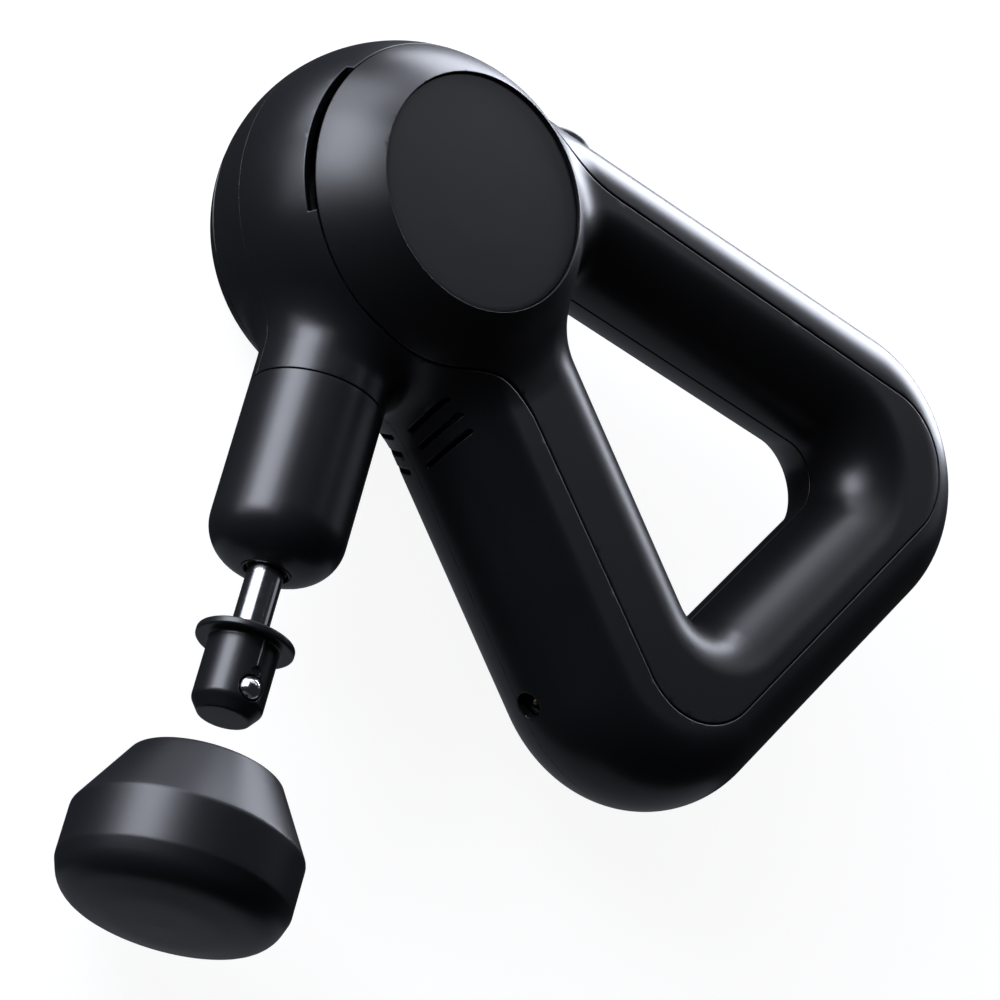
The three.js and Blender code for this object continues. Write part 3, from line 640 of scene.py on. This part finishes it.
def softened(corners, steps=6):
    """A profile through (radius, height, rounding) corners, with arcs at the rounded ones."""
    profile = []
    for i, (r, h, rounding) in enumerate(corners):
        here = np.array([r, h], float)
        if rounding <= 0 or i in (0, len(corners) - 1):
            profile.append(here)
            continue
        back = np.array(corners[i - 1][:2], float) - here
        ahead = np.array(corners[i + 1][:2], float) - here
        back, ahead = back / np.linalg.norm(back), ahead / np.linalg.norm(ahead)
        half = math.acos(np.clip(back.dot(ahead), -1, 1)) / 2
        start = here + back * rounding / math.tan(half)
        end = here + ahead * rounding / math.tan(half)
        bisector = (back + ahead) / np.linalg.norm(back + ahead)
        centre = here + bisector * rounding / math.sin(half)
        sweep = math.pi - 2 * half
        count = max(2, int(steps * sweep / (math.pi / 2)) + 1)
        for n in range(count + 1):
            share = n / count
            a, b = start - centre, end - centre
            mix = (math.sin((1 - share) * sweep) * a + math.sin(share * sweep) * b) / math.sin(sweep)
            profile.append(centre + mix)
    return profile


def subdivided(profile, longest):
    """Adds points to a profile so that no stretch is longer than `longest`."""
    points = [profile[0]]
    for here, there in zip(profile, profile[1:]):
        count = max(1, int(math.ceil(np.linalg.norm(there - here) / longest)))
        points += [here + (there - here) * n / count for n in range(1, count + 1)]
    return points


def turned(name, corners, centre, axis="y", segments=96, longest=1.5, steps=6):
    """A closed lathe mesh. The profile runs axis to axis, or closes on itself."""
    profile = subdivided(softened(corners, steps), longest)
    points, rings = [], []
    for radius, height in profile:
        if radius < 1e-6:
            rings.append([len(points)] * segments)
            points.append((0, 0, height))
            continue
        rings.append(list(range(len(points), len(points) + segments)))
        for n in range(segments):
            angle = 2 * math.pi * n / segments
            points.append((radius * math.cos(angle), radius * math.sin(angle), height))
    if profile[0][0] > 1e-6:
        rings[-1] = rings[0]
    faces = []
    for low, high in zip(rings, rings[1:]):
        for n in range(segments):
            m = (n + 1) % segments
            quad = [low[n], low[m], high[m], high[n]]
            quad = [v for i, v in enumerate(quad) if v not in quad[:i]]
            faces.append(quad)
    used = sorted({v for face in faces for v in face})
    order = {v: i for i, v in enumerate(used)}
    points = np.array(points)[used]
    faces = [[order[v] for v in face] for face in faces]
    if axis == "y":
        points = points[:, [1, 2, 0]]
    elif axis != "z":
        points = points @ np.array(Matrix(axis).transposed())
    return mesh_object(name, points + np.array(centre), faces)


# ---------------------------------------------------------------- materials

SLOTS = {m["slot"]: m for m in frame["record"]["materials"]}


class Nodes:
    """Shorthand for building one material's node tree."""

    def __init__(self, name):
        self.material = bpy.data.materials.new(name)
        self.material.use_nodes = True
        self.tree = self.material.node_tree
        self.shader = self.tree.nodes["Principled BSDF"]
        self.place = self.add("ShaderNodeTexCoord").outputs["Object"]

    def add(self, kind, **inputs):
        node = self.tree.nodes.new(kind)
        for key, value in inputs.items():
            self.feed(node.inputs[key.replace("_", " ")], value)
        return node

    def feed(self, socket, value):
        if hasattr(value, "links"):
            self.tree.links.new(value, socket)
        else:
            socket.default_value = value

    def noise(self, scale, detail=3.0, roughness=0.6):
        return self.add("ShaderNodeTexNoise", Vector=self.place, Scale=scale, Detail=detail,
                        Roughness=roughness).outputs["Fac"]

    def spread(self, value, low, high):
        """Maps 0..1 onto low..high."""
        node = self.add("ShaderNodeMapRange", Value=value)
        node.inputs["To Min"].default_value = low
        node.inputs["To Max"].default_value = high
        return node.outputs["Result"]

    def sum(self, first, second, kind="ADD"):
        node = self.tree.nodes.new("ShaderNodeMath")
        node.operation = kind
        self.feed(node.inputs[0], first)
        self.feed(node.inputs[1], second)
        return node.outputs[0]

    def mix(self, share, first, second):
        node = self.tree.nodes.new("ShaderNodeMix")
        node.data_type = "RGBA"
        self.feed(node.inputs["Factor"], share)
        self.feed(node.inputs[6], first)
        self.feed(node.inputs[7], second)
        return node.outputs[2]

    def edges(self):
        """1 on convex edges, for wear."""
        pointiness = self.add("ShaderNodeNewGeometry").outputs["Pointiness"]
        node = self.add("ShaderNodeMapRange", Value=pointiness)
        node.inputs["From Min"].default_value = 0.53
        node.inputs["From Max"].default_value = 0.62
        return node.outputs["Result"]

    def bump(self, height, distance, strength=1.0):
        node = self.add("ShaderNodeBump", Height=height, Distance=distance, Strength=strength)
        self.feed(self.shader.inputs["Normal"], node.outputs["Normal"])


def rgba(colour, gain=1.0):
    return (*[min(1, c * gain) for c in colour[:3]], 1)


def moulded(name, colour, rough, grain, grain_depth, wear=1.6):
    """Moulded plastic or elastomer: fine spark-eroded grain, patchy gloss, paler worn edges."""
    n = Nodes(name)
    fine, broad = n.noise(grain, 2.0, 0.7), n.noise(45, 4.0)
    body = n.mix(broad, rgba(colour, 0.88), rgba(colour, 1.14))
    n.feed(n.shader.inputs["Base Color"], n.mix(n.edges(), body, rgba(colour, wear)))
    gloss = n.sum(n.spread(broad, -0.035, 0.035), n.spread(fine, rough - 0.03, rough + 0.03))
    n.feed(n.shader.inputs["Roughness"], gloss)
    n.bump(fine, grain_depth)
    return n.material


def metal(name, colour, rough, lines=0.0, spots=220):
    """Turned or cast metal: brushed streaks round the shaft axis, patchy gloss."""
    n = Nodes(name)
    streak = n.add("ShaderNodeMapping", Vector=n.place)
    streak.inputs["Scale"].default_value = (40, 4000, 40)
    hair = n.add("ShaderNodeTexNoise", Vector=streak.outputs["Vector"], Scale=1.0, Detail=2.0)
    patch = n.noise(spots, 4.0)
    n.feed(n.shader.inputs["Metallic"], 1.0)
    n.feed(n.shader.inputs["Base Color"], n.mix(patch, rgba(colour, 0.9), rgba(colour, 1.06)))
    n.feed(n.shader.inputs["Roughness"], n.spread(patch, rough * 0.75, rough * 1.3))
    n.bump(hair.outputs["Fac"], lines)
    return n.material


# The outer plastics are darker than their colours in the record, by these shares.
DEPTH = {"shell_plastic": 0.4, "grip_elastomer": 0.4, "disc_plastic": 0.2, "cushion_elastomer": 0.4}


def make_materials():
    colour = {slot: data["base_color"] for slot, data in SLOTS.items()}
    black = {slot: [c * share for c in colour[slot]] for slot, share in DEPTH.items()}
    return {
        "shell_plastic": moulded("shell", black["shell_plastic"], 0.3, 2600, 0.000008),
        "grip_elastomer": moulded("grip", black["grip_elastomer"], 0.34, 3200, 0.00001),
        "disc_plastic": moulded("disc", black["disc_plastic"], 0.33, 2200, 0.000006),
        "cushion_elastomer": moulded(
            "cushion", black["cushion_elastomer"], 0.37, 1500, 0.00001, wear=1.2),
        "inner_plastic": moulded("nylon", colour["inner_plastic"], 0.5, 1800, 0.00002),
        "circuit_board": moulded("board", colour["circuit_board"], 0.35, 900, 0.00001),
        "wire_insulation": moulded("wire", colour["wire_insulation"], 0.45, 1200, 0.00001),
        "chrome_steel": metal("chrome", colour["chrome_steel"], 0.15, 0.0000006),
        "steel": metal("steel", colour["steel"], 0.28, 0.000004),
        "cast_aluminium": metal("aluminium", colour["cast_aluminium"], 0.42, 0.000008, 900),
        "bronze": metal("bronze", colour["bronze"], 0.3, 0.000004),
        "winding": metal("winding", colour["winding"], 0.35, 0.00002, 1500),
        "cell_sleeve": moulded("sleeve", colour["cell_sleeve"], 0.3, 500, 0.000008),
    }


materials = make_materials()
node_slot = {row["node"]: row["material_slot"] for row in frame["record"]["subparts"]}
for node, item in frame["nodes"].items():
    item.data.materials.clear()
    item.data.materials.append(materials[node_slot[node]])


def finish_piece(item, node, body):
    """Gives a piece its node's finish and body, and hides the node it stands for."""
    item.data.materials.clear()
    item.data.materials.append(materials[node_slot[node]])
    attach(item, body)
    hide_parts(node)
    return item


# ---------------------------------------------------------------- the pieces


def make_casing():
    cell = 1.0
    for side, facing in (("right", 1), ("left", -1)):
        for kind, field in (("housing", housing(facing)), ("side_cover", side_cover(facing))):
            node = f"{kind}_{side}"
            low, high = local_box(node)
            item = carve(f"{node}_shell", field, low, high, cell)
            finish_piece(item, node, "body")


DISC_CROWN = 0.3


def make_discs():
    back, front = disc_low.z / MM - HEAD.z / MM, disc_high.z / MM - HEAD.z / MM
    corners = [
        (0, back, 0),
        (DISC_RADIUS, back, 0.3),
        (DISC_RADIUS, front - DISC_CROWN, 0.3),
        (DISC_RADIUS * 0.45, front, 1300),
        (0, front, 0),
    ]
    for side, facing in (("right", 1), ("left", -1)):
        flipped = [(r, facing * h, rounding) for r, h, rounding in corners]
        item = turned(f"side_disc_{side}_face", flipped[::facing], (0, 0, 0), "z", 160)
        finish_piece(item, f"side_disc_{side}", "body")


def make_nose():
    end, start = nose_low[1], nose_high[1]
    item = turned("nose_cover_barrel", [
        (NOSE_MOUTH, end + WALL, 0),
        (NOSE_MOUTH, end, 0.5),
        (NOSE_RADIUS, end, NOSE_ROUND),
        (NOSE_RADIUS, start, 0.15),
        (NOSE_RADIUS - WALL, start, 0.15),
        (NOSE_RADIUS - WALL, end + WALL, NOSE_ROUND - WALL),
        (NOSE_MOUTH, end + WALL, 0),
    ], (SHAFT_X, 0, 0), "y", 144, steps=16)
    finish_piece(item, "nose_cover", "body")


def make_shaft():
    item = turned("output_shaft_rod", [
        (0, shaft_low[1], 0), (SHAFT_RADIUS, shaft_low[1], 0.2),
        (SHAFT_RADIUS, shaft_high[1], 0.4), (0, shaft_high[1], 0),
    ], (SHAFT_X, 0, 0), "y", 96)
    finish_piece(item, "output_shaft", "output")
    seal_low, seal_high = local_box("shaft_seal")
    item = turned("shaft_seal_ring", [
        (SHAFT_RADIUS + 0.2, seal_low[1], 0), (5.5, seal_low[1], 0.4), (5.5, seal_high[1], 0.4),
        (SHAFT_RADIUS + 0.2, seal_high[1], 0.4), (SHAFT_RADIUS + 0.2, seal_low[1], 0),
    ], (SHAFT_X, 0, 0), "y", 72)
    finish_piece(item, "shaft_seal", "body")


def make_plug():
    item = carve("plug_body", plug, plug_low, plug_high, 0.45)
    finish_piece(item, "plug", "output")
    for side, facing in (("right", 1), ("left", -1)):
        height = facing * BALL_CENTRE
        steps = 24
        arc = [(BALL_RADIUS * math.sin(math.pi * n / steps),
                -BALL_RADIUS * math.cos(math.pi * n / steps), 0) for n in range(steps + 1)]
        arc[0], arc[-1] = (0, -BALL_RADIUS, 0), (0, BALL_RADIUS, 0)
        item = turned(f"detent_ball_{side}_steel", arc, (SHAFT_X, BALL_Y, height), "z", 48)
        finish_piece(item, f"detent_ball_{side}", f"ball_{side}")


SPRING_WIRE = 0.28
SPRING_TURNS = 3.5


def coil(name, radius, low, high):
    """A closed coil spring along z."""
    steps, around = int(SPRING_TURNS * 24), 10
    points = []
    for n in range(steps + 1):
        angle = 2 * math.pi * SPRING_TURNS * n / steps
        out = np.array([math.cos(angle), math.sin(angle), 0])
        centre = out * radius + np.array([0, 0, low + (high - low) * n / steps])
        for m in range(around):
            turn = 2 * math.pi * m / around
            side = math.cos(turn) * out + math.sin(turn) * np.array([0, 0, 1])
            points.append(centre + SPRING_WIRE * side)
    faces = [list(range(around)), list(range(steps * around, (steps + 1) * around))[::-1]]
    for n in range(steps):
        for m in range(around):
            k = (m + 1) % around
            a, b = n * around, (n + 1) * around
            faces.append([a + m, b + m, b + k, a + k])
    return mesh_object(name, np.array(points) + np.array([SHAFT_X, BALL_Y, 0]), faces)


def make_springs():
    for side in ("right", "left"):
        node = f"detent_spring_{side}"
        low, high = local_box(node)
        radius = (high[0] - low[0]) / 2 - SPRING_WIRE
        ends = low[2] + SPRING_WIRE, high[2] - SPRING_WIRE
        item = finish_piece(coil(f"{node}_coil", radius, *ends), node, "output")
        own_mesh(item)


def make_attachment():
    item = carve("attachment_core_socket", attachment_core, core_low, core_high, 0.6)
    finish_piece(item, "attachment_core", "attachment")
    top, end = pad_high[1], pad_low[1]
    dome, band, mouth = 25.2, 27.6, 17.9
    hollow = SLEEVE_RADIUS + 0.3
    item = turned("attachment_cushion", [
        (0, end, 0),
        (14, end + 0.4, 30),
        (dome, end + 2.8, 8.0),
        (band, end + 9.8, 3.0),
        (band, top - 16.6, 2.4),
        (mouth, top, 1.6),
        (hollow, top, 0.8),
        (hollow, core_low[1] - 0.4, 0.5),
        (0, core_low[1] - 0.4, 0),
    ], (SHAFT_X, 0, 0), "y", 160, steps=12)
    finish_piece(item, "attachment_pad", "attachment")


def make_button():
    stem = 2.2
    base, top = button_low[1] + 2.6, button_high[1]
    item = turned("power_button_cap", [
        (0, button_low[1], 0), (stem, button_low[1], 0.2), (stem, base, 0.3),
        (BUTTON_RADIUS, base, 0.3), (BUTTON_RADIUS, top - 0.9, 1.4), (0, top, 0),
    ], (BUTTON_X, 0, 0), "y", 96, steps=8)
    finish_piece(item, "power_button", "button")


JACK_BACK, JACK_FRONT = 12.6, 20.1
JACK_RADIUS, JACK_MOUTH = 4.2, 3.0
JACK_PIN_RADIUS, JACK_PIN_END = 0.8, 21.5


def make_jack():
    turn = Matrix.Rotation(ARM_ANGLE, 3, "Z") @ Matrix.Rotation(math.pi / 2, 3, "X")
    x, y = on_lower_arm(PORT_ALONG, 0)
    item = turned("charge_jack_socket", [
        (0, JACK_BACK, 0), (JACK_RADIUS, JACK_BACK, 0.2), (JACK_RADIUS, JACK_FRONT, 0.3),
        (JACK_MOUTH, JACK_FRONT, 0.3), (JACK_MOUTH, JACK_BACK + 1, 0.2), (0, JACK_BACK + 1, 0),
    ], (x, y, 0), turn, 64)
    finish_piece(item, "charge_jack", "body")
    item = turned("charge_jack_pin", [
        (0, JACK_BACK + 1.1, 0), (JACK_PIN_RADIUS, JACK_BACK + 1.1, 0),
        (JACK_PIN_RADIUS, JACK_PIN_END, 0.5), (0, JACK_PIN_END, 0),
    ], (x, y, 0), turn, 40)
    finish_piece(item, "charge_pin", "body")


make_casing()
make_discs()
make_nose()
make_shaft()
make_plug()
make_springs()
make_attachment()
make_button()
make_jack()

# ---------------------------------------------------------------- studio

LENS = 162.5
DISTANCE = 1.0957
LOOK = Vector((0.5008, 0.4375, -0.7468)).normalized()
RIGHT = Vector((0.7377, 0.2356, 0.6327)).normalized()
UP = RIGHT.cross(LOOK).normalized()
EYE = HEAD + Vector((-0.4992, -0.5298, 0.8189))
CENTRE = EYE + LOOK * DISTANCE


def make_camera():
    data = bpy.data.cameras.new("camera")
    data.lens, data.sensor_width, data.sensor_fit = LENS, 36, "HORIZONTAL"
    camera = bpy.data.objects.new("camera", data)
    camera.matrix_world = Matrix((
        (RIGHT.x, UP.x, -LOOK.x, EYE.x),
        (RIGHT.y, UP.y, -LOOK.y, EYE.y),
        (RIGHT.z, UP.z, -LOOK.z, EYE.z),
        (0, 0, 0, 1),
    ))
    bpy.context.scene.collection.objects.link(camera)
    bpy.context.scene.camera = camera


BOX_DISTANCE = 1.2
COOL = (0.84, 0.88, 1.0)


def soft_box(name, right, up, toward, power, size=0.7):
    """A soft box in a direction given by the camera's right, up and toward, aimed at the object."""
    data = bpy.data.lights.new(name, "AREA")
    data.shape, data.size = "SQUARE", size
    data.energy, data.color = power, COOL
    lamp = bpy.data.objects.new(name, data)
    reach = (RIGHT * right + UP * up - LOOK * toward).normalized() * BOX_DISTANCE
    lamp.location = CENTRE + reach
    lamp.rotation_euler = (-reach).to_track_quat("-Z", "Y").to_euler()
    lamp.visible_camera = False
    bpy.context.scene.collection.objects.link(lamp)


def make_floor():
    """A pale sweep that only the camera sees, so the object keeps its deep black."""
    floor_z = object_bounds()[0][2] - 0.0005
    bpy.ops.mesh.primitive_plane_add(size=6, location=(CENTRE.x, CENTRE.y, floor_z))
    floor = bpy.context.active_object
    floor.name = "floor"
    n = Nodes("floor_paper")
    n.feed(n.shader.inputs["Base Color"], (0.3, 0.3, 0.3, 1))
    n.feed(n.shader.inputs["Roughness"], 0.9)
    n.feed(n.shader.inputs["Specular IOR Level"], 0.0)
    n.feed(n.shader.inputs["Emission Color"], (1, 1, 1, 1))
    n.feed(n.shader.inputs["Emission Strength"], 0.9)
    floor.data.materials.append(n.material)
    floor.visible_diffuse = floor.visible_glossy = floor.visible_shadow = False


def make_studio():
    make_floor()
    world = bpy.data.worlds.new("studio")
    bpy.context.scene.world = world
    world.use_nodes = True
    world.node_tree.nodes["Background"].inputs["Color"].default_value = (*COOL, 1)
    world.node_tree.nodes["Background"].inputs["Strength"].default_value = 0.02
    soft_box("top_left", -0.38, 0.92, 0.08, 7.0)
    soft_box("top", -0.04, 0.94, 0.35, 1.8)
    soft_box("overhead", 0.17, 0.98, -0.08, 2.4)
    soft_box("top_right", 0.49, 0.85, 0.18, 1.4)
    soft_box("behind_top", 0.32, 0.79, -0.52, 12.0)
    soft_box("behind_right", 0.60, 0.42, -0.68, 14.0)
    soft_box("right", 0.88, 0.24, -0.42, 0.4)
    soft_box("disc_sheen", 0.90, 0.53, 0.09, 0.4, 0.3)
    soft_box("front", -0.28, 0.60, 0.74, 2.4)
    soft_box("front_left", -0.46, 0.72, 0.52, 12.0)
    soft_box("left", -0.72, 0.52, 0.45, 2.6)
    soft_box("below", -0.20, -0.78, -0.58, 2.5, 2.0)
    bpy.context.scene.view_settings.view_transform = "Standard"


make_camera()
make_studio()
